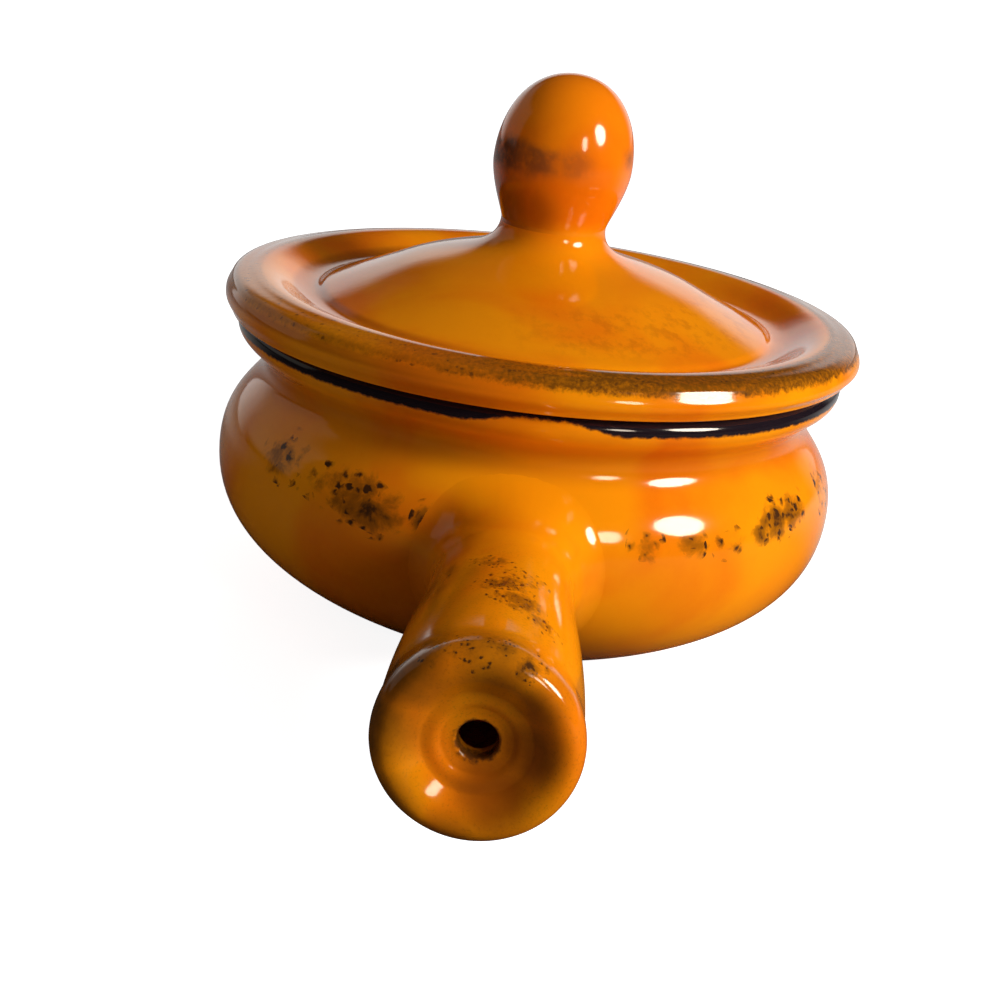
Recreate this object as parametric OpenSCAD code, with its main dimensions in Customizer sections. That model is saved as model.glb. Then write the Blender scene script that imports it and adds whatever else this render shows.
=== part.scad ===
// Small glazed earthenware casserole: a round-bellied pot with a hollow side handle
// and a lid with a tall turned knob. Origin at the middle of the flat base, +Z up,
// handle along -Y.

/* [Pot] */
// Radius at the widest ring of the belly
belly_radius = 79; // [70:0.5:90]
// Height of the widest ring of the belly
belly_height = 35; // [30:0.5:40]
// Radius of the flat base
base_radius = 47; // [38:0.5:54]
// Slope of the wall where it leaves the base, in degrees
base_slope = 26; // [15:1:40]
// Height of the rim that the lid rests on
rim_height = 71; // [66:0.5:80]
// Radius of the rolled lip at its widest ring
lip_radius = 76.5; // [72:0.5:84]
// Depth of the lip's widest ring below the rim
lip_drop = 3; // [2:0.25:4]
// Width of the lip, from its widest ring to the mouth
lip_width = 10; // [8.5:0.25:12]
// Width of the rounding on both edges of the lip's top
lip_round = 3; // [1.5:0.25:3.5]
// How far the throat draws in under the lip
throat_inset = 7; // [4:0.25:8.5]
// Depth of the throat below the rim
throat_drop = 13; // [10:0.25:15]
// Thickness of the pot's wall
pot_wall = 5.5; // [4:0.25:7]
// Thickness of the pot's floor
floor_thickness = 7; // [5:0.25:9]

/* [Lid] */
// How far the lid's widest ring stands out past the pot's lip
lid_overhang = 3.5; // [1.5:0.25:6]
// Gap between the pot's rim and the lid's seat
seat_gap = 0.3; // [0.1:0.05:0.6]
// How far the lid's lower edge draws in from its widest ring
lid_foot_inset = 1.7; // [0.5:0.1:3]
// Height of the lid's widest ring above the seat
lid_edge_height = 4.3; // [3:0.1:6]
// Distance from the widest ring to the crest of the rolled rim
crest_inset = 8.3; // [6:0.1:10]
// Height of the crest above the seat
crest_height = 9.4; // [8:0.1:12]
// Distance from the widest ring to the bottom of the trough
trough_inset = 20.5; // [17:0.25:24]
// Height of the trough's bottom above the seat
trough_height = 4.6; // [3.5:0.1:6]
// Slope of the dome's cone, in degrees
dome_slope = 24; // [18:0.5:28]
// Radius of the dome's top, where the knob sits
stem_radius = 12.8; // [10:0.1:15]
// Height of the dome's top above the seat
stem_height = 26.6; // [24:0.1:32]
// Thickness of the lid's dome
lid_wall = 5; // [4:0.25:6]
// Depth of the locating flange below the seat
flange_depth = 7; // [4:0.25:9]
// Thickness of the locating flange
flange_wall = 5; // [3.5:0.25:6.5]
// Clearance between the flange and the pot's throat
flange_clearance = 0.8; // [0.5:0.1:2]
// Rounding of the flange's lower edge
flange_round = 1.5; // [0.5:0.1:1.7]

/* [Knob] */
// Radius of the knob at its widest ring
knob_radius = 17.5; // [15.5:0.1:20]
// Height of the widest ring above the knob's seat
knob_waist = 16.5; // [12:0.1:20]
// Height of the knob
knob_height = 37.3; // [32:0.1:44]
// Slope of the knob's side where it leaves the seat, in degrees
knob_slope = 60; // [45:1:80]

/* [Handle] */
// Height of the handle's axis above the base
handle_height = 34; // [30:0.5:38]
// Length of the handle from the belly to its end
handle_length = 83; // [65:0.5:110]
// Radius of the handle just outside its flared root
root_radius = 15; // [13:0.1:17]
// Radius of the grip at its thickest
grip_radius = 18.9; // [17:0.1:21]
// Distance of the grip's thickest ring from the end
grip_back = 12; // [10:0.25:16]
// Radius of the rolled lip round the end
end_radius = 19.4; // [18:0.1:22]
// Distance of the rolled lip's widest ring from the end
end_back = 4.4; // [3:0.1:6]
// Radius of the ring that the rolled lip's crest makes
end_crest = 16.2; // [14.5:0.1:17.5]
// Thickness of the handle's wall
handle_wall = 4.5; // [3.5:0.1:5.5]
// Spread of the luted fillet over the belly
fillet_spread = 6; // [4:0.25:8]
// Reach of the luted fillet along the handle
fillet_reach = 9; // [6:0.25:12]

/* [Handle end] */
// Depth of the dished end at the vent hole
dish_depth = 4.2; // [3:0.1:5]
// Radius of the outer turning ring in the dish
outer_ring = 10.6; // [9.5:0.1:12]
// Radius of the inner turning ring in the dish
inner_ring = 7; // [6:0.1:8.5]
// Height of each turning ring's step
ring_step = 0.45; // [0.2:0.05:0.6]
// Radius of the vent hole, which also takes a hanging hook
vent_radius = 3.75; // [2.5:0.05:5]
// Thickness of the end wall at the vent hole
end_wall = 5; // [3.5:0.1:7]

/* [Fineness] */
// Straight steps in each stretch of a profile
curve_steps = 10; // [5:1:16]
// Points round the luted fillet
fillet_points = 48; // [32:4:64]
// Steps across the luted fillet
fillet_steps = 7; // [4:1:10]

/* [Hidden] */
$fn = 96;

// Share of a curve's chord that its end tangent takes, as in a quarter of a circle
round_pull = 0.39;
// The belly turns in late and meets the throat early
shoulder_pull = 0.6;
throat_pull = 0.25;
// The dome sweeps into its stem in a tight concave curve, and the stem narrows a little upwards
dome_pull = 0.3;
dome_foot_pull = 0.57;
stem_pull = 0.16;
stem_lean = 95;
// Share of the way from the stem to the trough where the dome is a plain cone
cone_place = 0.55;
// The knob is fullest above its widest ring
knob_low_pull = 0.31;
knob_high_pull = 0.45;
// Direction in which the lid's side leaves its lower edge
lid_edge_lean = 60;
// Direction in which the lid's hollow runs down into its flange
hollow_lean = -80;
// The clay under the knob is this many walls thick
stem_walls = 2;
// The floor's inner edge is drawn in from the base by this many walls
floor_edge_walls = 0.9;

glaze = "darkorange";
knob_glaze = "chocolate";
handle_glaze = "peru";
lid_glaze = "orange";

throat_radius = lip_radius - throat_inset;
throat_height = rim_height - throat_drop;
lip_height = rim_height - lip_drop;
mouth_radius = lip_radius - lip_width;

seat_height = rim_height + seat_gap;
lid_radius = lip_radius + lid_overhang;
crest_radius = lid_radius - crest_inset;
trough_radius = lid_radius - trough_inset;
flange_radius = throat_radius - pot_wall - flange_clearance;
flange_inner = flange_radius - flange_wall;
knob_seat = seat_height + stem_height;

handle_end = belly_radius + handle_length;
cavity_end = handle_end - dish_depth - end_wall;
// Where the luted root ends on the turned tube, and how far the tube runs on inside it
tube_start = belly_radius + fillet_reach;
tube_lap = 1;
// The root's skin lies this far outside the tube, as a coat of slip does
slip = 0.1;
// The vent hole's cut runs this far past the faces that it opens
cut_past = 1;

// One curve between two stations, each [radius, height, direction in degrees]
function heading(a) = [cos(a), sin(a)];
function place(s) = [s[0], s[1]];
function bend(p, q, t) = p * (1 - t) + q * t;
function bezier(a, b, c, d, t) =
    let (ab = bend(a, b, t), bc = bend(b, c, t), cd = bend(c, d, t))
    bend(bend(ab, bc, t), bend(bc, cd, t), t);
function curve(from, to, pull_from = round_pull, pull_to = round_pull) =
    let (chord = norm(place(to) - place(from)))
    let (b = place(from) + pull_from * chord * heading(from[2]))
    let (c = place(to) - pull_to * chord * heading(to[2]))
    [for (i = [0 : curve_steps]) bezier(place(from), b, c, place(to), i / curve_steps)];

// A path from several curves, without the points that two of them share
function joined(curves) =
    [for (k = [0 : len(curves) - 1]) for (i = [k == 0 ? 0 : 1 : len(curves[k]) - 1]) curves[k][i]];

// The pot's outside, from the edge of the base up to the lip's widest ring
pot_outside = joined([
    curve([base_radius, 0, base_slope], [belly_radius, belly_height, 90]),
    curve([belly_radius, belly_height, 90], [throat_radius, throat_height, 90], shoulder_pull, throat_pull),
    curve([throat_radius, throat_height, 90], [lip_radius, lip_height, 90])
]);

// The rolled top of the lip, from outside to inside
pot_lip = concat(
    curve([lip_radius, lip_height, 90], [lip_radius - lip_round, rim_height, 180]),
    curve([mouth_radius + lip_round, rim_height, 180], [mouth_radius, lip_height, 270])
);

// The pot's inside, from the mouth down to the floor
floor_radius = base_radius - floor_edge_walls * pot_wall;
pot_inside = joined([
    curve([mouth_radius, lip_height, 270], [throat_radius - pot_wall, throat_height, 270]),
    curve([throat_radius - pot_wall, throat_height, 270], [belly_radius - pot_wall, belly_height, 270],
        throat_pull, shoulder_pull),
    curve([belly_radius - pot_wall, belly_height, 270], [floor_radius, floor_thickness, 180 + base_slope])
]);

// Radius of the pot's outside at a height below the lip
function pot_radius(z) = lookup(z, [for (p = pot_outside) [p[1], p[0]]]);

// The lid's upper side, from its lower edge over the rim, trough and dome to the stem
cone_radius = bend(stem_radius, trough_radius, cone_place);
cone_height = trough_height + (trough_radius - cone_radius) * tan(dome_slope);
lid_edge = curve([lid_radius - lid_foot_inset, 0, lid_edge_lean], [lid_radius, lid_edge_height, 90]);
lid_roll = curve([lid_radius, lid_edge_height, 90], [crest_radius, crest_height, 180]);
lid_trough = curve([crest_radius, crest_height, 180], [trough_radius, trough_height, 180]);
lid_cone = curve([trough_radius, trough_height, 180], [cone_radius, cone_height, 180 - dome_slope],
    dome_foot_pull, dome_pull);
lid_sweep = curve([cone_radius, cone_height, 180 - dome_slope], [stem_radius, stem_height, stem_lean],
    dome_pull, stem_pull);
lid_outside = joined([lid_edge, lid_roll, lid_trough, lid_cone, lid_sweep]);

// The lid's under side, from the middle of the dome out to the flange and its seat
hollow_top = [stem_radius, stem_height - stem_walls * lid_wall, 0];
hollow_cone = [cone_radius, cone_height - lid_wall / cos(dome_slope), -dome_slope];
hollow_foot = [flange_inner, trough_height - lid_wall, hollow_lean];
lid_inside = joined([
    curve(hollow_top, hollow_cone),
    curve(hollow_cone, hollow_foot)
]);
lid_flange = concat(
    curve([flange_inner, flange_round - flange_depth, -90], [flange_inner + flange_round, -flange_depth, 0]),
    curve([flange_radius - flange_round, -flange_depth, 0], [flange_radius, flange_round - flange_depth, 90]),
    [[flange_radius, 0]]
);

knob_side = joined([
    curve([stem_radius, 0, knob_slope], [knob_radius, knob_waist, 90], knob_low_pull, knob_low_pull),
    curve([knob_radius, knob_waist, 90], [0, knob_height, 180], knob_high_pull, round_pull)
]);

// The handle's outside, as [radius, distance from the pot's axis], from root to end
tube_side = curve([root_radius, belly_radius, 90], [grip_radius, handle_end - grip_back, 90]);
tube_roll = joined([
    curve([grip_radius, handle_end - grip_back, 90], [end_radius, handle_end - end_back, 90]),
    curve([end_radius, handle_end - end_back, 90], [end_crest, handle_end, 180])
]);
function tube_radius(s) = lookup(s, [for (p = tube_side) [p[1], p[0]]]);

// The dished end, from the crest of the rolled lip over two turning rings to the vent hole
dish_slope = 200;
dish_floor = handle_end - dish_depth;
dish_side = concat(
    curve([end_crest, handle_end, 180], [outer_ring, dish_floor + 2 * ring_step, dish_slope]),
    [
        [outer_ring - ring_step, dish_floor + ring_step],
        [inner_ring, dish_floor + ring_step],
        [inner_ring - ring_step, dish_floor],
        [vent_radius, dish_floor]
    ]
);

// The luted root, before the pot is cut out of it: it starts inside the pot at this distance
// from the axis and this share of its width, and runs straight for the depth under the fillet
root_inner = belly_radius / 2;
root_core = 0.6;
root_depth = 6;
// The fillet's edge starts this far under the pot's skin, and its corner stands this far proud
fillet_sink = 0.8;
fillet_proud = 1.5;
// Share of the way to the corner that the fillet's edge keeps to the pot
fillet_pull = 0.7;
// Distance of the pot's outside from its axis, seen at an angle and a radius about the handle's
function pot_face(a, r) =
    sqrt(pow(pot_radius(handle_height + r * sin(a)), 2) - pow(r * cos(a), 2));
// One strip of the root's skin, as [radius, distance from the pot's axis]
function root_strip(a) =
    let (skin = root_radius + slip, foot = skin + fillet_spread)
    let (edge = [foot, pot_face(a, foot) - fillet_sink], corner = [skin, pot_face(a, skin) + fillet_proud])
    let (lift = corner[1] + fillet_reach - 2 * fillet_proud, top = [tube_radius(lift) + slip, lift])
    let (low = bend(edge, corner, fillet_pull))
    concat(
        [[foot * root_core, root_inner], [foot - root_depth / 2, edge[1] - root_depth]],
        [for (i = [0 : fillet_steps]) bezier(edge, low, corner, top, i / fillet_steps)],
        [[tube_radius(tube_start) + slip, tube_start]]
    );
function swung(p, a) = [p[0] * cos(a), -p[1], handle_height + p[0] * sin(a)];

module turned(path) {
    rotate_extrude() polygon(path);
}

// Turned about the handle's axis, with distances from the pot's axis
module turned_handle(path) {
    translate([0, 0, handle_height]) rotate([90, 0, 0]) turned(path);
}

module pot_solid() {
    turned(concat([[0, 0]], pot_outside, pot_lip, [[0, rim_height - lip_drop]]));
}

module luted_root() {
    strips = [for (k = [0 : fillet_points - 1]) root_strip(360 * k / fillet_points)];
    rings = len(strips[0]);
    points = [for (j = [0 : rings - 1]) for (k = [0 : fillet_points - 1])
        swung(strips[k][j], 360 * k / fillet_points)];
    function at(j, k) = j * fillet_points + (k % fillet_points);
    sides = [for (j = [0 : rings - 2]) for (k = [0 : fillet_points - 1]) for (half = [0, 1])
        half == 0 ? [at(j, k), at(j + 1, k + 1), at(j, k + 1)] : [at(j, k), at(j + 1, k), at(j + 1, k + 1)]];
    inner_cap = [for (k = [0 : fillet_points - 1]) at(0, k)];
    outer_cap = [for (k = [fillet_points - 1 : -1 : 0]) at(rings - 1, k)];
    polyhedron(points, concat(sides, [inner_cap, outer_cap]));
}

module bowl() {
    color(glaze)
        turned(concat([[0, 0]], pot_outside, pot_lip, pot_inside, [[0, floor_thickness]]));
}

module handle() {
    tube_foot = tube_start - tube_lap;
    tube = [for (p = tube_side) if (p[1] > tube_foot) p];
    outside = concat([[0, tube_foot], [tube_radius(tube_foot), tube_foot]],
        tube, tube_roll, dish_side, [[0, dish_floor]]);
    bore = [for (p = tube_side) if (p[1] < cavity_end - handle_wall) [p[0] - handle_wall, p[1]]];
    bore_end = bore[len(bore) - 1];
    cavity = concat([[0, root_inner], [bore[0][0], root_inner]], bore,
        curve([bore_end[0], bore_end[1], 90], [bore_end[0] - handle_wall, cavity_end, 180]), [[0, cavity_end]]);
    color(handle_glaze)
        difference() {
            union() {
                luted_root();
                turned_handle(outside);
            }
            turned_handle(cavity);
            translate([0, cut_past - cavity_end, handle_height]) rotate([90, 0, 0])
                cylinder(h = end_wall + dish_depth + 2 * cut_past, r = vent_radius);
            pot_solid();
        }
}

module lid() {
    color(lid_glaze)
        translate([0, 0, seat_height])
            turned(concat([[0, hollow_top[1]]], lid_inside, lid_flange, lid_outside, [[0, stem_height]]));
}

module knob() {
    color(knob_glaze)
        translate([0, 0, knob_seat])
            turned(concat([[0, 0]], knob_side));
}

bowl();
handle();
lid();
knob();
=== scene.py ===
import math
import bpy
import bmesh
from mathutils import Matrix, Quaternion, Vector


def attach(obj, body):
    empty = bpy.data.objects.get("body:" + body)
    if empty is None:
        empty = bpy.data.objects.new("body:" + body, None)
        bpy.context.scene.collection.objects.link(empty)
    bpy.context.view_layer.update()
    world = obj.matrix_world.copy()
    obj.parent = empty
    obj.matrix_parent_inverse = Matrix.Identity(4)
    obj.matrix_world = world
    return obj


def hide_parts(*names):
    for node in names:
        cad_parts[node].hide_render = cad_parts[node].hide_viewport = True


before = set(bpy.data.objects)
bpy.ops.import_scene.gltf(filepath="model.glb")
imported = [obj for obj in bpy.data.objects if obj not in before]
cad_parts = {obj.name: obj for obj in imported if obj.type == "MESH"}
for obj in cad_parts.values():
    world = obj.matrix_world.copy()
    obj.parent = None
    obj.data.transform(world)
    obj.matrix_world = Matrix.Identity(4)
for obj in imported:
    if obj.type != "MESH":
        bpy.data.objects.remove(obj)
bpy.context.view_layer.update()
mm = 0.001  # every size below is in millimetres
print("frame loaded:", ", ".join(sorted(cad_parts)))


# a profile runs through stations: radius, height, direction in degrees, pull before, pull after
def curveBetween(start, end, steps):
    pullOut = start[4] if len(start) > 4 else 0.39
    pullIn = end[3] if len(end) > 3 else 0.39
    a, d = Vector(start[:2]), Vector(end[:2])
    chord = (d - a).length
    b = a + pullOut * chord * Vector((math.cos(math.radians(start[2])), math.sin(math.radians(start[2]))))
    c = d - pullIn * chord * Vector((math.cos(math.radians(end[2])), math.sin(math.radians(end[2]))))
    points = []
    for i in range(steps + 1):
        t = i / steps
        points.append(a * (1 - t) ** 3 + b * 3 * t * (1 - t) ** 2 + c * 3 * t * t * (1 - t) + d * t ** 3)
    return points


def throughStations(stations, steps):
    points = [Vector(stations[0][:2])]
    for start, end in zip(stations, stations[1:]):
        points += curveBetween(start, end, steps)[1:]
    return points


def readProfile(points, height):  # radius of a profile at a height
    for low, high in zip(points, points[1:]):
        if (low.y - height) * (high.y - height) <= 0 and low.y != high.y:
            share = (height - low.y) / (high.y - low.y)
            return low.x + share * (high.x - low.x)
    return points[-1].x


def smoothShare(value, low, high):  # 0 at low, 1 at high
    share = min(max((value - low) / (high - low), 0), 1)
    return share * share * (3 - 2 * share)


def turnProfile(points, place, turns):  # place puts a profile point (radius, height) in space
    bm = bmesh.new()
    verts = [bm.verts.new(place(point)) for point in points]
    edges = [bm.edges.new(pair) for pair in zip(verts, verts[1:])]
    centre, axis = place(Vector((0, 0))), place(Vector((0, 1))) - place(Vector((0, 0)))
    bmesh.ops.spin(bm, geom=verts + edges, cent=centre, axis=axis.normalized(),
                   angle=math.tau, steps=turns, use_merge=True)
    bmesh.ops.remove_doubles(bm, verts=bm.verts, dist=0.002 * mm)
    return bm


def upright(point):
    return Vector((point.x * mm, 0, point.y * mm))


def finishPiece(bm, name, body, node, material):
    bmesh.ops.recalc_face_normals(bm, faces=bm.faces)
    sharpest = math.radians(60)
    for edge in bm.edges:
        edge.smooth = not (len(edge.link_faces) == 2 and edge.calc_face_angle(0) > sharpest)
    mesh = bpy.data.meshes.new(name)
    bm.to_mesh(mesh)
    bm.free()
    mesh.polygons.foreach_set("use_smooth", [True] * len(mesh.polygons))
    mesh.materials.append(material)
    piece = bpy.data.objects.new(name, mesh)
    bpy.context.collection.objects.link(piece)
    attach(piece, body)
    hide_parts(node)
    print("made", name, "with", len(mesh.polygons), "faces")
    return piece


def addNode(tree, kind, **settings):
    node = tree.nodes.new(kind)
    for name, value in settings.items():
        setattr(node, name, value)
    return node


def feed(tree, socket, source):
    if isinstance(source, bpy.types.NodeSocket):
        tree.links.new(source, socket)
    else:
        socket.default_value = source


def compute(tree, operation, *sources, clamp=False):
    node = addNode(tree, "ShaderNodeMath", operation=operation, use_clamp=clamp)
    for socket, source in zip(node.inputs, sources):
        feed(tree, socket, source)
    return node.outputs[0]


def multiply(tree, *sources):
    result = sources[0]
    for source in sources[1:]:
        result = compute(tree, "MULTIPLY", result, source)
    return result


def moveVector(tree, operation, *sources):
    node = addNode(tree, "ShaderNodeVectorMath", operation=operation)
    for socket, source in zip(node.inputs, sources):
        feed(tree, socket, source)
    return node.outputs["Value" if operation in ("LENGTH", "DISTANCE", "DOT_PRODUCT") else "Vector"]


def splitVector(tree, vector):
    node = addNode(tree, "ShaderNodeSeparateXYZ")
    feed(tree, node.inputs[0], vector)
    return node.outputs


def stepBetween(tree, value, low, high):  # smooth step: 0 at low, 1 at high
    node = addNode(tree, "ShaderNodeMapRange", interpolation_type="SMOOTHSTEP")
    for socket, source in zip(node.inputs, (value, low, high, 0.0, 1.0)):
        feed(tree, socket, source)
    return node.outputs["Result"]


def mixColour(tree, share, first, second):
    node = addNode(tree, "ShaderNodeMix", data_type="RGBA")
    feed(tree, node.inputs[0], share)
    feed(tree, node.inputs[6], first)
    feed(tree, node.inputs[7], second)
    return node.outputs[2]


def makeNoise(tree, vector, size, detail=3.0, roughness=0.55, warp=0.0):
    node = addNode(tree, "ShaderNodeTexNoise")
    feed(tree, node.inputs["Vector"], vector)
    feed(tree, node.inputs["Scale"], compute(tree, "DIVIDE", 1.0, size))
    node.inputs["Detail"].default_value = detail
    node.inputs["Roughness"].default_value = roughness
    node.inputs["Distortion"].default_value = warp
    return node.outputs["Fac"]


def startGroup(name, inputs, outputs):
    tree = bpy.data.node_groups.new(name, "ShaderNodeTree")
    kinds = {"value": "NodeSocketFloat", "vector": "NodeSocketVector", "colour": "NodeSocketColor"}
    for label, kind in inputs:
        tree.interface.new_socket(name=label, in_out="INPUT", socket_type=kinds[kind])
    for label, kind in outputs:
        tree.interface.new_socket(name=label, in_out="OUTPUT", socket_type=kinds[kind])
    return tree, addNode(tree, "NodeGroupInput").outputs, addNode(tree, "NodeGroupOutput").inputs


def useGroup(tree, group, **sources):
    node = addNode(tree, "ShaderNodeGroup", node_tree=group)
    for label, source in sources.items():
        feed(tree, node.inputs[label], source)
    return node.outputs


def makeGlazeTone():  # the orange changes in slow patches where the glaze ran thick or thin
    tree, given, result = startGroup("glazeTone", [
        ("Vector", "vector"), ("Deep", "colour"), ("Bright", "colour"), ("Patch", "value")],
        [("Colour", "colour")])
    wide = makeNoise(tree, given["Vector"], given["Patch"], 3.0, 0.5, 0.6)
    fine = makeNoise(tree, given["Vector"], 1.3, 2.0, 0.6)
    share = compute(tree, "MULTIPLY_ADD", compute(tree, "SUBTRACT", fine, 0.5), 0.22,
                    stepBetween(tree, wide, 0.30, 0.66), clamp=True)
    feed(tree, result["Colour"], mixColour(tree, share, given["Deep"], given["Bright"]))
    return tree


def makeGlazeSpecks():  # dark specks and blots in a brown halo, as dense as the cover asks
    tree, given, result = startGroup("glazeSpecks", [
        ("Vector", "vector"), ("Cover", "value"), ("Size", "value")],
        [("Mask", "value"), ("Halo", "value")])
    scaled = moveVector(tree, "DIVIDE", given["Vector"], given["Size"])
    bend = addNode(tree, "ShaderNodeTexNoise")
    feed(tree, bend.inputs["Vector"], scaled)
    bend.inputs["Scale"].default_value = 1.3
    shaken = moveVector(tree, "MULTIPLY_ADD", bend.outputs["Color"], (1.1, 1.1, 1.1), scaled)
    cells = addNode(tree, "ShaderNodeTexVoronoi")
    feed(tree, cells.inputs["Vector"], shaken)
    cells.inputs["Scale"].default_value = 1.0
    chance = addNode(tree, "ShaderNodeSeparateColor")
    feed(tree, chance.inputs[0], cells.outputs["Color"])
    kept = compute(tree, "LESS_THAN", chance.outputs[0], given["Cover"])
    radius = compute(tree, "MULTIPLY_ADD", chance.outputs[1], 0.30, 0.02)
    far = cells.outputs["Distance"]
    dot = compute(tree, "MULTIPLY", kept, stepBetween(tree, far, compute(tree, "ADD", radius, 0.24), radius))
    ring = compute(tree, "MULTIPLY", kept, stepBetween(tree, far, compute(tree, "ADD", radius, 0.62), radius))
    cloud = makeNoise(tree, scaled, 2.4, 4.0, 0.6, 0.3)
    edge = compute(tree, "MULTIPLY_ADD", given["Cover"], -0.50, 0.90)
    blot = stepBetween(tree, cloud, edge, compute(tree, "ADD", edge, 0.16))
    smudgeAndPaintedReflection = stepBetween(tree, cloud, compute(tree, "SUBTRACT", edge, 0.26), compute(tree, "ADD", edge, 0.02))
    near = stepBetween(tree, given["Cover"], 0.0, 0.12)
    feed(tree, result["Mask"], compute(tree, "MULTIPLY", compute(tree, "MAXIMUM", dot, blot), near))
    feed(tree, result["Halo"], compute(tree, "MULTIPLY", compute(tree, "MAXIMUM", ring, smudgeAndPaintedReflection), near))
    return tree


def makeGlazeWaves():  # the glaze's skin is never quite even
    tree, given, result = startGroup("glazeWaves", [
        ("Vector", "vector"), ("Wave", "value"), ("Peel", "value"), ("Crust", "value")],
        [("Height", "value")])
    slow = compute(tree, "MULTIPLY", makeNoise(tree, given["Vector"], 14.0, 2.0, 0.4), given["Wave"])
    quick = compute(tree, "MULTIPLY", makeNoise(tree, given["Vector"], 1.6, 2.0, 0.5), given["Peel"])
    rough = compute(tree, "MULTIPLY", makeNoise(tree, given["Vector"], 0.7, 3.0, 0.6), given["Crust"])
    feed(tree, result["Height"], compute(tree, "ADD", compute(tree, "ADD", slow, quick), rough))
    return tree


def makeSoftSpot():  # a soft round patch about a point
    tree, given, result = startGroup("softSpot", [
        ("Vector", "vector"), ("Centre", "vector"), ("Reach", "value"), ("Strength", "value")],
        [("Mask", "value")])
    far = moveVector(tree, "DISTANCE", given["Vector"], given["Centre"])
    near = stepBetween(tree, far, given["Reach"], compute(tree, "MULTIPLY", given["Reach"], 0.2))
    feed(tree, result["Mask"], compute(tree, "MULTIPLY", near, given["Strength"]))
    return tree


glazeTone, glazeSpecks = makeGlazeTone(), makeGlazeSpecks()
glazeWaves, softSpot = makeGlazeWaves(), makeSoftSpot()

glazeLook = {
    "deep": (0.83, 0.172, 0.002, 1),
    "bright": (0.92, 0.285, 0.002, 1),
    "knobDeep": (0.80, 0.140, 0.002, 1),
    "knobBright": (0.90, 0.212, 0.002, 1),
    "brown": (0.20, 0.062, 0.003, 1),
    "rust": (0.42, 0.088, 0.003, 1),
    "speck": (0.030, 0.012, 0.006, 1),
    "knobDarkBand": (0.095, 0.036, 0.018, 1),
    "dark": (0.012, 0.007, 0.010, 1),
    "clay": (0.50, 0.19, 0.09, 1),
    "mirrorTint": (1.0, 0.86, 0.68, 1),
    "gloss": 0.09,
    "lens": 1.5,
    "patch": 38.0,
    "wave": 0.10,
    "peel": 0.008,
}


def startGlaze(name):
    material = bpy.data.materials.new(name)
    material.use_nodes = True
    tree = material.node_tree
    shader = tree.nodes["Principled BSDF"]
    shader.inputs["IOR"].default_value = glazeLook["lens"]
    shader.inputs["Specular Tint"].default_value = glazeLook["mirrorTint"]
    where = addNode(tree, "ShaderNodeTexCoord")
    vector = moveVector(tree, "MULTIPLY", where.outputs["Object"], (1 / mm, 1 / mm, 1 / mm))
    return material, tree, shader, vector, splitVector(tree, vector)


def toneGlaze(tree, vector, deep="deep", bright="bright"):
    return useGroup(tree, glazeTone, Vector=vector, Deep=glazeLook[deep], Bright=glazeLook[bright],
                    Patch=glazeLook["patch"])["Colour"]


def gatherSpots(tree, vector, spots):  # spots are (x, y, z, reach, strength)
    total = None
    for x, y, z, reach, strength in spots:
        mask = useGroup(tree, softSpot, Vector=vector, Centre=(x, y, z), Reach=reach, Strength=strength)["Mask"]
        total = mask if total is None else compute(tree, "MAXIMUM", total, mask)
    return total


def bandAbout(tree, value, middle, half, soft):  # 1 inside the band, fading to 0 outside it
    off = compute(tree, "ABSOLUTE", compute(tree, "SUBTRACT", value, middle))
    return stepBetween(tree, off, half + soft, half)


def speckle(tree, vector, colour, cover, size, haloShare=0.55, speckShare=0.88):
    specks = useGroup(tree, glazeSpecks, Vector=vector, Cover=cover, Size=size)
    colour = mixColour(tree, multiply(tree, specks["Halo"], haloShare), colour, glazeLook["brown"])
    return mixColour(tree, multiply(tree, specks["Mask"], speckShare), colour, glazeLook["speck"])


def finishGlaze(tree, shader, vector, colour, bare=None, crust=0.0):
    gloss = makeNoise(tree, vector, 22.0, 2.0)
    roughness = compute(tree, "MULTIPLY_ADD", gloss, 0.05, glazeLook["gloss"] - 0.025)
    if bare is not None:
        colour = mixColour(tree, bare, colour, glazeLook["clay"])
        roughness = compute(tree, "MULTIPLY_ADD", bare, 0.75, roughness)
    feed(tree, shader.inputs["Base Color"], colour)
    feed(tree, shader.inputs["Roughness"], roughness)
    height = useGroup(tree, glazeWaves, Vector=vector, Wave=glazeLook["wave"], Peel=glazeLook["peel"],
                      Crust=crust)["Height"]
    bump = addNode(tree, "ShaderNodeBump")
    bump.inputs["Distance"].default_value = mm
    feed(tree, bump.inputs["Height"], height)
    feed(tree, shader.inputs["Normal"], bump.outputs[0])


potSize = {
    "belly": (79, 35), "base": (47, 26), "lip": (76.5, 68), "throat": (69.5, 58),
    "rim": 71, "mouth": 66.5, "lipRound": 3, "wall": 5.5, "floor": 7, "footRound": 1.2,
    "speckRing": 44.5, "speckHalf": 2.0, "speckSize": 2.5, "lipLine": 67.4, "lipRagged": 1.6,
    "turns": 192, "steps": 14,
}

potSide = throughStations([
    (potSize["base"][0], 0, potSize["base"][1]),
    (*potSize["belly"], 90, 0.39, 0.6),
    (*potSize["throat"], 90, 0.25, 0.39),
    (*potSize["lip"], 90)], 24)


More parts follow.
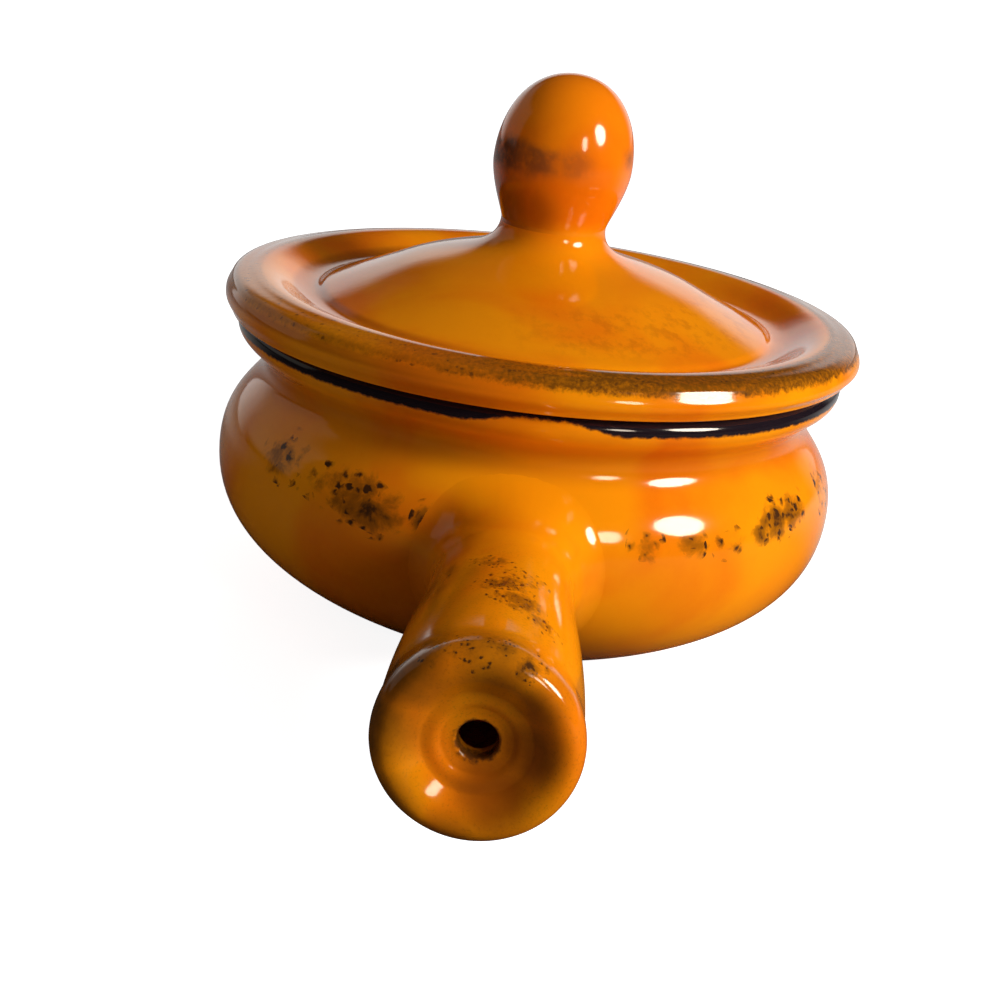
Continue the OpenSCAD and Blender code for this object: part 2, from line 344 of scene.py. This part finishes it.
def makePotGlaze():
    material, tree, shader, vector, part = startGlaze("potGlaze")
    colour = toneGlaze(tree, vector)
    # a rust band darkens the pot about the throat
    throatBand = bandAbout(tree, part["Z"], potSize["throat"][1] + 0.5, 1.5, 4.5)
    colour = mixColour(tree, multiply(tree, throatBand, 0.42), colour, glazeLook["rust"])
    # dark specks gather in patches on the ring where the belly is fullest
    ring = bandAbout(tree, part["Z"], potSize["speckRing"], potSize["speckHalf"], 7.5)
    patches = gatherSpots(tree, vector, [
        (-38.2, -69.2, 44.5, 10, 0.85), (-30.5, -73, 41.5, 11, 0.95), (-33, -72, 46, 9, 0.8),
        (-19.1, -76.7, 44, 7.5, 0.9), (-46, -64, 45, 9, 0.45), (-56.5, -55.5, 49, 12, 0.75),
        (30, -73, 43.5, 8, 0.55), (41, -67.5, 42, 6, 0.85), (50, -61, 42, 7, 0.4), (58, -54, 42.5, 5, 0.8),
        (61, -49.5, 45.5, 8.5, 0.9), (66.5, -41.5, 45.5, 8.5, 0.85), (75, -20, 46, 12, 0.40),
        (60, 47, 44, 22, 0.6), (12, 78, 44, 18, 0.5), (-44, 64, 45, 24, 0.6), (-76, 10, 44, 16, 0.5)])
    colour = speckle(tree, vector, colour, multiply(tree, ring, patches), potSize["speckSize"], 0.78, 0.9)
    # the lip is dipped in dark glaze with a ragged edge, thin above the handle
    ragged = compute(tree, "MULTIPLY_ADD", makeNoise(tree, vector, 2.0, 4.0, 0.65), potSize["lipRagged"],
                     potSize["lipLine"] - 0.5 * potSize["lipRagged"])
    thin = gatherSpots(tree, vector, [(4, -76.4, 68, 19, 2.3)])
    line = compute(tree, "ADD", ragged, thin)
    dark = stepBetween(tree, part["Z"], compute(tree, "SUBTRACT", line, 0.35), compute(tree, "ADD", line, 0.45))
    colour = mixColour(tree, dark, colour, glazeLook["dark"])
    # the foot is left bare
    foot = compute(tree, "MULTIPLY_ADD", makeNoise(tree, vector, 9.0), 1.6, 0.9)
    bare = stepBetween(tree, part["Z"], compute(tree, "ADD", foot, 0.3), foot)
    finishGlaze(tree, shader, vector, colour, bare)
    return material


def makePot():
    size = potSize
    foot, wall, drop, base = size["footRound"], size["wall"], size["lip"][1], size["base"][0]
    outside = throughStations([(0, 0, 0), (base - foot, 0, 0), (*potSide[1], 28)], 6)[:-1] + potSide[1:]
    inside = throughStations([
        (size["lip"][0], drop, 90), (size["lip"][0] - size["lipRound"], size["rim"], 180),
        (size["mouth"] + size["lipRound"], size["rim"], 180), (size["mouth"], drop, 270),
        (size["throat"][0] - wall, size["throat"][1], 270, 0.39, 0.25),
        (size["belly"][0] - wall, size["belly"][1], 270, 0.6, 0.39),
        (base - 0.9 * wall, size["floor"], 180 + size["base"][1]),
        (0, size["floor"], 180)], size["steps"])
    bm = turnProfile(outside + inside[1:], upright, size["turns"])
    return finishPiece(bm, "glazedPot", "pot", "bowl", makePotGlaze())


makePot()

handleSize = {
    "height": 34, "end": 162, "root": 15, "grip": (18.9, 12), "lip": (19.4, 4.4), "crest": 16.2,
    "wall": 4.5, "dish": 4.2, "vent": 3.75, "ventRound": 0.7, "endWall": 5,
    "innerRing": ((6.2, 0.30, 12), (7.1, 0.72, 30)), "outerRing": ((9.8, 1.30, 12), (10.8, 1.85, 32)),
    "spread": 8, "reach": 12, "sink": 0.12, "hiddenEdge": (2.0, 12.0), "turns": 160, "filletSteps": 16,
}


def makeHandleGlaze():
    material, tree, shader, vector, part = startGlaze("handleGlaze")
    colour = toneGlaze(tree, vector)
    away = compute(tree, "MULTIPLY", part["Y"], -1.0)
    past = stepBetween(tree, away, 92.0, 110.0)
    # painted shade browns the end face, most on its left rim, and a painted reflection of the belly darkens the
    # tube's upper left near the root; rust-red patches lie right of and below the vent
    brown = gatherSpots(tree, vector, [
        (-19, -157, 36, 14, 1.0), (-15, -158, 47, 14, 0.90), (-16, -158, 22, 11, 0.75), (1, -159, 51, 12, 0.62),
        (10, -159, 34, 9, 0.75), (4, -159, 24, 10, 0.70), (10, -159, 44, 8, 0.60), (-3, -161, 17, 8, 0.45),
        (-13, -118, 46, 13, 0.60)])
    soft = compute(tree, "MULTIPLY_ADD", makeNoise(tree, vector, 5.0, 4.0, 0.6), 0.9, 0.55)
    colour = mixColour(tree, compute(tree, "MULTIPLY", brown, soft, clamp=True), colour, glazeLook["brown"])
    grain = stepBetween(tree, makeNoise(tree, vector, 0.55, 3.0, 0.7), 0.50, 0.72)
    colour = mixColour(tree, multiply(tree, grain, past, 0.28), colour, glazeLook["brown"])
    red = gatherSpots(tree, vector, [(4, -158, 26, 11, 0.75), (8, -158, 32, 8, 0.5)])
    colour = mixColour(tree, multiply(tree, red, soft), colour, glazeLook["rust"])
    # dark crackle along the turning lines on top
    streaked = moveVector(tree, "MULTIPLY", vector, (1.0, 0.6, 1.0))
    patches = gatherSpots(tree, vector, [
        (1, -127, 52, 8, 0.75), (4, -135, 52, 7.5, 0.80), (9, -141, 51, 6, 0.60), (-3, -113, 50, 7, 0.55),
        (5, -119, 50, 7, 0.50)])
    colour = speckle(tree, streaked, colour, patches, 0.9, 0.75, 0.85)
    lipPatches = gatherSpots(tree, vector, [
        (-3, -159, 53, 7, 0.45), (2, -158, 53.4, 5, 0.65), (7, -161, 50.5, 3.4, 0.95), (9, -159, 51, 5, 0.45),
        (-9, -158.5, 51, 6, 0.40)])
    colour = speckle(tree, vector, colour, lipPatches, 0.9, 0.6, 0.85)
    # a ragged dark ring round the vent hole
    middle = (0, 5.2 - handleSize["end"], handleSize["height"])
    rim = moveVector(tree, "DISTANCE", vector, middle)
    ventRing = stepBetween(tree, compute(tree, "MULTIPLY_ADD", makeNoise(tree, vector, 1.1, 4.0), 2.2, rim), 5.9, 4.9)
    colour = mixColour(tree, multiply(tree, ventRing, 0.85), colour, glazeLook["speck"])
    crust = multiply(tree, compute(tree, "MAXIMUM", patches, lipPatches), 0.10)
    finishGlaze(tree, shader, vector, colour, None, crust)
    return material


def alongHandle(point):
    return Vector((point.x * mm, -point.y * mm, handleSize["height"] * mm))


def potFace(angle, radius):  # the pot's skin, seen along the handle
    height = handleSize["height"] + radius * math.sin(angle)
    side = radius * math.cos(angle)
    return math.sqrt(readProfile(potSide, height) ** 2 - side ** 2)


def rootPoint(angle, step, lift, skin):  # the fillet runs from the tube down onto the belly
    size = handleSize
    foot = skin + size["spread"]
    edge = Vector((foot, potFace(angle, foot) - size["sink"]))
    if step > size["filletSteps"]:  # the hidden edge turns in under the pot's skin
        inward = size["hiddenEdge"][step - size["filletSteps"] - 1]
        return Vector((foot - inward, potFace(angle, foot - inward) - 2.5))
    slope = potFace(angle, foot + 0.5) - potFace(angle, foot - 0.5)
    top = Vector((skin, lift))
    low = edge + Vector((-1, -slope)).normalized() * 0.75 * size["spread"]
    high = top - Vector((0, 1)) * 0.62 * (lift - potFace(angle, skin))
    t = step / size["filletSteps"]
    return top * (1 - t) ** 3 + high * 3 * t * (1 - t) ** 2 + low * 3 * t * t * (1 - t) + edge * t ** 3


def makeHandle():
    size = handleSize
    end, wall, belly = size["end"], size["wall"], potSize["belly"][0]
    vent, soft = size["vent"], size["ventRound"]
    tube = throughStations([(size["root"], belly, 90), (size["grip"][0], end - size["grip"][1], 90)], 40)
    floor = end - size["dish"]
    wallBack = floor - size["endWall"]
    bore = [Vector((point.x - wall, point.y)) for point in tube if belly + 1.5 < point.y < wallBack - wall - 1]
    boreEnd = (readProfile(tube, wallBack - wall) - wall, wallBack - wall)
    inside = [Vector((0, bore[0].y))] + bore + throughStations([
        (*boreEnd, 90), (boreEnd[0] - wall, wallBack, 180), (vent + soft, wallBack, 180), (vent, wallBack + soft, 90),
        (vent, floor - soft, 90), (vent + soft, floor, 0)], 6)
    rings = [(radius, floor + rise, slope) for radius, rise, slope in size["innerRing"] + size["outerRing"]]
    face = throughStations([
        (vent + soft, floor, 0), *rings, (size["crest"], end, 0),
        (size["lip"][0], end - size["lip"][1], 270), (size["grip"][0], end - size["grip"][1], 270)], 8)
    lift = belly + size["reach"] - 1
    skin = readProfile(tube, lift)
    outside = [point for point in reversed(tube) if lift + 0.5 < point.y < end - size["grip"][1] - 0.2]
    bm = turnProfile(inside + face[1:] + outside + [Vector((skin, lift))], alongHandle, size["turns"])
    # the root: the open edge is drawn on, step by step, and follows the belly
    rim = [edge for edge in bm.edges if edge.is_boundary]
    for step in range(1, size["filletSteps"] + len(size["hiddenEdge"]) + 1):
        drawn = bmesh.ops.extrude_edge_only(bm, edges=rim)["geom"]
        rim = [item for item in drawn if isinstance(item, bmesh.types.BMEdge) and item.is_boundary]
        for vert in {vert for edge in rim for vert in edge.verts}:
            angle = math.atan2(vert.co.z - size["height"] * mm, vert.co.x)
            point = rootPoint(angle, step, lift, skin)
            vert.co = Vector((point.x * math.cos(angle) * mm, -point.y * mm,
                              (size["height"] + point.x * math.sin(angle)) * mm))
    bmesh.ops.remove_doubles(bm, verts=bm.verts, dist=0.002 * mm)
    return finishPiece(bm, "hollowHandle", "pot", "handle", makeHandleGlaze())


makeHandle()

lidSize = {
    "seat": 71.3, "edge": (80, 4.3), "foot": 1.7, "crest": (71.7, 9.4), "trough": (58.9, 5.0),
    "dome": (55.2, 6.55, 157), "cone": (38.4, 13.95, 156), "neck": (13.17, 27.33), "stemTop": 26.6,
    "stemWide": 12.8, "wall": 5, "flange": (63.2, 58.2), "flangeDepth": 7, "flangeRound": 1.5,
    "droop": 0.9, "droopFrom": 74.5, "turns": 224, "steps": 14,
}

knobSize = {
    "widest": (17.22, 42.19), "top": 63.9, "bandHeight": 115.5, "lean": 0.029, "shift": -0.6,
    "leanFrom": 95, "turns": 128, "steps": 32,
}

# one line runs from the dome through the neck to the top of the knob, and the stem's top cuts it in two
neckLine = throughStations([
    (*lidSize["cone"], 0.33, 0.507), (*lidSize["neck"], 90, 0.311, 0.095),
    (*knobSize["widest"], 90, 0.389, 0.436), (0, knobSize["top"], 180)], knobSize["steps"])
neckJoint = Vector((readProfile(neckLine, lidSize["stemTop"]), lidSize["stemTop"]))


def leanOver(bm):  # the knob was set on by hand, a little askew
    for vert in bm.verts:
        height = vert.co.z / mm
        drift = knobSize["shift"] + knobSize["lean"] * max(height - knobSize["leanFrom"], 0)
        vert.co.x += drift * smoothShare(height, 84, knobSize["leanFrom"]) * mm


def makeLidGlaze():
    material, tree, shader, vector, part = startGlaze("lidGlaze")
    colour = toneGlaze(tree, vector)
    radius = moveVector(tree, "LENGTH", moveVector(tree, "MULTIPLY", vector, (1, 1, 0)))
    # the crest of the rim is brown and granular, more so on the right
    ragged = compute(tree, "MULTIPLY_ADD", makeNoise(tree, vector, 2.2, 4.0, 0.65), 3.2, -1.6)
    low = compute(tree, "ADD", part["Z"], ragged)
    crest = multiply(tree, stepBetween(tree, low, 76.9, 78.6), stepBetween(tree, radius, 70.6, 72.4))
    side = compute(tree, "MULTIPLY_ADD", stepBetween(tree, part["X"], -45.0, 15.0), 0.50, 0.42)
    grain = compute(tree, "MULTIPLY_ADD", makeNoise(tree, vector, 1.1, 3.0, 0.7), 1.5, 0.25)
    band = compute(tree, "MULTIPLY", multiply(tree, crest, side), grain, clamp=True)
    colour = mixColour(tree, band, colour, glazeLook["brown"])
    colour = speckle(tree, vector, colour, multiply(tree, crest, side, 0.35), 1.1, 0.3, 0.45)
    # painted shade lies as a faint rust line along the groove of the rim on the left, and painted reflections of the
    # rim lie as faint rust patches about the dome's foot on the right
    grooveShade = multiply(tree, bandAbout(tree, part["Z"], lidSize["seat"] + 5.2, 0.5, 1.1),
                      stepBetween(tree, part["X"], 10.0, -30.0))
    colour = mixColour(tree, multiply(tree, grooveShade, 0.55), colour, glazeLook["rust"])
    smudgeAndPaintedReflection = multiply(tree, bandAbout(tree, radius, 45.0, 4.0, 8.0),
                      stepBetween(tree, makeNoise(tree, vector, 4.5, 5.0, 0.7), 0.46, 0.64),
                      stepBetween(tree, part["X"], -20.0, 20.0))
    colour = mixColour(tree, multiply(tree, smudgeAndPaintedReflection, 0.32), colour, glazeLook["rust"])
    # the seat and the flange's foot are wiped bare
    under = multiply(tree, stepBetween(tree, part["Z"], lidSize["seat"] + 0.25, lidSize["seat"] + 0.1),
                     stepBetween(tree, radius, lidSize["edge"][0] - 3.2, lidSize["edge"][0] - 3.8))
    finishGlaze(tree, shader, vector, colour, under)
    return material


def makeLid():
    size = lidSize
    edgeRadius, edgeHeight = size["edge"]
    coneRadius, coneHeight, coneWay = size["cone"]
    flangeOut, flangeIn = size["flange"]
    depth, soft, wall = size["flangeDepth"], size["flangeRound"], size["wall"]
    under = throughStations([
        (0, size["stemTop"] - 2 * wall, 0), (size["stemWide"], size["stemTop"] - 2 * wall, 0),
        (coneRadius, coneHeight - wall / math.cos(math.radians(180 - coneWay)), coneWay - 180),
        (flangeIn, size["trough"][1] - wall, -80), (flangeIn, soft - depth, -90), (flangeIn + soft, -depth, 0),
        (flangeOut - soft, -depth, 0), (flangeOut, soft - depth, 90)], size["steps"])
    over = throughStations([
        (edgeRadius - size["foot"] - 1, 0, 0), (edgeRadius - size["foot"], 0.5, 70),
        (edgeRadius, edgeHeight - 0.6, 90), (edgeRadius - 1.2, edgeHeight + 2.8, 112),
        (size["crest"][0] + 2.4, size["crest"][1] - 0.25, 168), (*size["crest"], 180),
        (*size["trough"], 180, 0.39, 0.50), (*size["dome"], 0.45, 0.33), (*size["cone"], 0.33)], size["steps"])
    stem = [point for point in neckLine[1:knobSize["steps"] + 1] if point.y < neckJoint.y - 0.02]
    seat = [Vector((flangeOut, 0)), Vector((size["droopFrom"], 0))]
    profile = under + seat + over + stem + [neckJoint, Vector((0, neckJoint.y))]
    bm = turnProfile([Vector((point.x, point.y + size["seat"])) for point in profile], upright, size["turns"])
    for vert in bm.verts:  # the overhanging edge sags a little on the left and rides up on the right
        far, height = math.hypot(vert.co.x, vert.co.y) / mm, vert.co.z / mm - size["seat"]
        sag = smoothShare(far, size["droopFrom"], 78) * smoothShare(height, 5, 0.5)
        vert.co.z += size["droop"] * sag * vert.co.x / edgeRadius
    leanOver(bm)
    return finishPiece(bm, "glazedLid", "cover", "lid", makeLidGlaze())


makeLid()


def makeKnobGlaze():
    material, tree, shader, vector, part = startGlaze("knobGlaze")
    # the knob is redder than the stem, and painted shade browns it low on its left
    redder = toneGlaze(tree, vector, "knobDeep", "knobBright")
    colour = mixColour(tree, stepBetween(tree, part["Z"], 97.5, 103.0), toneGlaze(tree, vector), redder)
    shade = gatherSpots(tree, vector, [(-11, -8, 104, 13, 0.8), (-5, -13, 103, 9, 0.5)])
    colour = mixColour(tree, shade, colour, glazeLook["brown"])
    # a dark band runs round the knob above its widest, darkest on the left
    lowered = compute(tree, "SUBTRACT", part["Z"], 3.0)
    wobble = compute(tree, "MULTIPLY_ADD", makeNoise(tree, vector, 8.0, 3.0), 6.0, lowered)
    band = bandAbout(tree, wobble, knobSize["bandHeight"], 1.6, 3.6)
    patches = gatherSpots(tree, vector, [
        (-15, -8.5, 116, 15, 1.0), (-6, -16, 115.5, 9, 0.75), (3, -17, 116, 7, 0.45), (16, -6, 118, 5, 0.6),
        (-10, 14, 115, 14, 0.8), (12, 12, 116, 10, 0.5)])
    mottle = stepBetween(tree, makeNoise(tree, vector, 3.2, 3.0), 0.30, 0.58)
    knobDarkBand = multiply(tree, band, patches, compute(tree, "MULTIPLY_ADD", mottle, 0.45, 0.55))
    colour = mixColour(tree, multiply(tree, knobDarkBand, 0.9), colour, glazeLook["knobDarkBand"])
    finishGlaze(tree, shader, vector, colour)
    return material


def makeKnob():
    upper = [point for point in neckLine[knobSize["steps"] - 8:] if point.y > neckJoint.y + 0.02]
    profile = [Vector((0, neckJoint.y)), neckJoint] + upper
    bm = turnProfile([Vector((point.x, point.y + lidSize["seat"])) for point in profile], upright, knobSize["turns"])
    leanOver(bm)
    return finishPiece(bm, "turnedKnob", "cover", "knob", makeKnobGlaze())


makeKnob()

cameraView = {"spot": (5.26, -435.71, 177.29), "aim": (-5.10, 0, 23.71), "roll": 7.16, "lens": 63, "sensor": 36}


def makeCamera():
    lens = bpy.data.cameras.new("camera")
    lens.lens, lens.sensor_width, lens.sensor_fit = cameraView["lens"], cameraView["sensor"], "HORIZONTAL"
    camera = bpy.data.objects.new("camera", lens)
    bpy.context.collection.objects.link(camera)
    spot, aim = Vector(cameraView["spot"]) * mm, Vector(cameraView["aim"]) * mm
    level = (aim - spot).to_track_quat("-Z", "Y")
    camera.location = spot
    camera.rotation_euler = (level @ Quaternion((0, 0, 1), math.radians(cameraView["roll"]))).to_euler()
    bpy.context.scene.camera = camera


studio = {
    "centre": (0, -30, 60),
    # name: compass angle from the viewer towards the right, height angle, distance, width, height, strength
    "lamps": {
        "keyLamp": (65, 27, 1200, 390, 430, 32.0),
        "sideLamp": (34, 21, 1200, 190, 280, 17.0),
    },
    "fill": (0.09, 0.27),  # in front and behind
    "front": 0.012,
    "panel": 0.28,
    "floorSize": 12000,
    "floorColour": (0.84, 0.84, 0.84, 1),
    "floorMirrored": (0.03, 0.02, 0.015, 1),
    "floorGlow": (0.90, 1.0),
}


def makeLamp(name, compass, rise, distance, width, height, strength):
    lamp = bpy.data.lights.new(name, "AREA")
    lamp.shape, lamp.size, lamp.size_y = "ELLIPSE", width * mm, height * mm
    lamp.energy = strength * math.pi * math.pi * 0.25 * width * height * mm * mm
    holder = bpy.data.objects.new(name, lamp)
    bpy.context.collection.objects.link(holder)
    compass, rise = math.radians(compass), math.radians(rise)
    toLamp = Vector((math.sin(compass) * math.cos(rise), -math.cos(compass) * math.cos(rise), math.sin(rise)))
    holder.location = (Vector(studio["centre"]) + toLamp * distance) * mm
    holder.rotation_euler = (-toLamp).to_track_quat("-Z", "Y").to_euler()


def makeFloor():
    bm = bmesh.new()
    bmesh.ops.create_grid(bm, x_segments=1, y_segments=1, size=studio["floorSize"] * mm / 2)
    bmesh.ops.translate(bm, verts=bm.verts, vec=(0, 0, -0.1 * mm))
    mesh = bpy.data.meshes.new("floor")
    bm.to_mesh(mesh)
    bm.free()
    material = bpy.data.materials.new("paleFloor")
    material.use_nodes = True
    tree = material.node_tree
    shader = tree.nodes["Principled BSDF"]
    shader.inputs["Roughness"].default_value = 0.9
    shader.inputs["Emission Color"].default_value = (1, 1, 1, 1)
    path = addNode(tree, "ShaderNodeLightPath")
    where = addNode(tree, "ShaderNodeTexCoord")
    away = moveVector(tree, "LENGTH", where.outputs["Object"])
    # the glaze mirrors a dark table in front and a pale one behind
    behind = compute(tree, "DIVIDE", splitVector(tree, where.outputs["Object"])["Y"], away)
    mirrorDim = multiply(tree, stepBetween(tree, behind, 0.75, 0.1), path.outputs["Is Glossy Ray"])
    bounceDim = multiply(tree, stepBetween(tree, behind, -0.75, -0.97), path.outputs["Is Diffuse Ray"])
    dim = compute(tree, "MAXIMUM", mirrorDim, bounceDim)
    feed(tree, shader.inputs["Base Color"], mixColour(tree, dim, studio["floorColour"], studio["floorMirrored"]))
    low, high = studio["floorGlow"]
    glow = compute(tree, "MULTIPLY_ADD", stepBetween(tree, away, 0.15, 1.2), high - low, low)
    feed(tree, shader.inputs["Emission Strength"], multiply(tree, glow, path.outputs["Is Camera Ray"]))
    mesh.materials.append(material)
    floor = bpy.data.objects.new("floor", mesh)
    bpy.context.collection.objects.link(floor)


def makeWorld():
    world = bpy.data.worlds.new("studio")
    bpy.context.scene.world = world
    world.use_nodes = True
    tree = world.node_tree
    backdrop = tree.nodes["Background"]
    backdrop.inputs["Color"].default_value = (1, 1, 1, 1)
    path = addNode(tree, "ShaderNodeLightPath")
    sees = compute(tree, "MAXIMUM", path.outputs["Is Glossy Ray"], path.outputs["Is Transmission Ray"])
    where = addNode(tree, "ShaderNodeTexCoord")
    x, y, z = splitVector(tree, where.outputs["Generated"])
    # the white backdrop stands behind the object, and a grey panel on its left with an uneven edge
    turned = compute(tree, "SUBTRACT", y, multiply(tree, x, 0.12))
    wall = multiply(tree, stepBetween(tree, turned, 0.58, 0.92), stepBetween(tree, z, 0.43, 0.28))
    uneven = compute(tree, "MULTIPLY_ADD", makeNoise(tree, where.outputs["Generated"], 0.09, 3.0), 0.16, -0.08)
    panel = multiply(tree, stepBetween(tree, compute(tree, "ADD", y, uneven), -0.05, 0.0),
                     stepBetween(tree, x, -0.30, -0.55), stepBetween(tree, z, 0.02, 0.12),
                     stepBetween(tree, z, 0.62, 0.50), studio["panel"])
    mirrored = compute(tree, "MAXIMUM", compute(tree, "MAXIMUM", wall, panel), studio["front"])
    low, high = studio["fill"]
    fill = compute(tree, "MULTIPLY_ADD", stepBetween(tree, y, -0.7, 0.5), high - low, low)
    lit = multiply(tree, compute(tree, "SUBTRACT", 1.0, sees), fill)
    light = compute(tree, "ADD", multiply(tree, sees, mirrored), lit)
    feed(tree, backdrop.inputs["Strength"], compute(tree, "MAXIMUM", light, path.outputs["Is Camera Ray"]))


makeCamera()
for lampName, values in studio["lamps"].items():
    makeLamp(lampName, *values)
makeFloor()
makeWorld()
bpy.context.scene.view_settings.view_transform = "Standard"
print("studio ready")
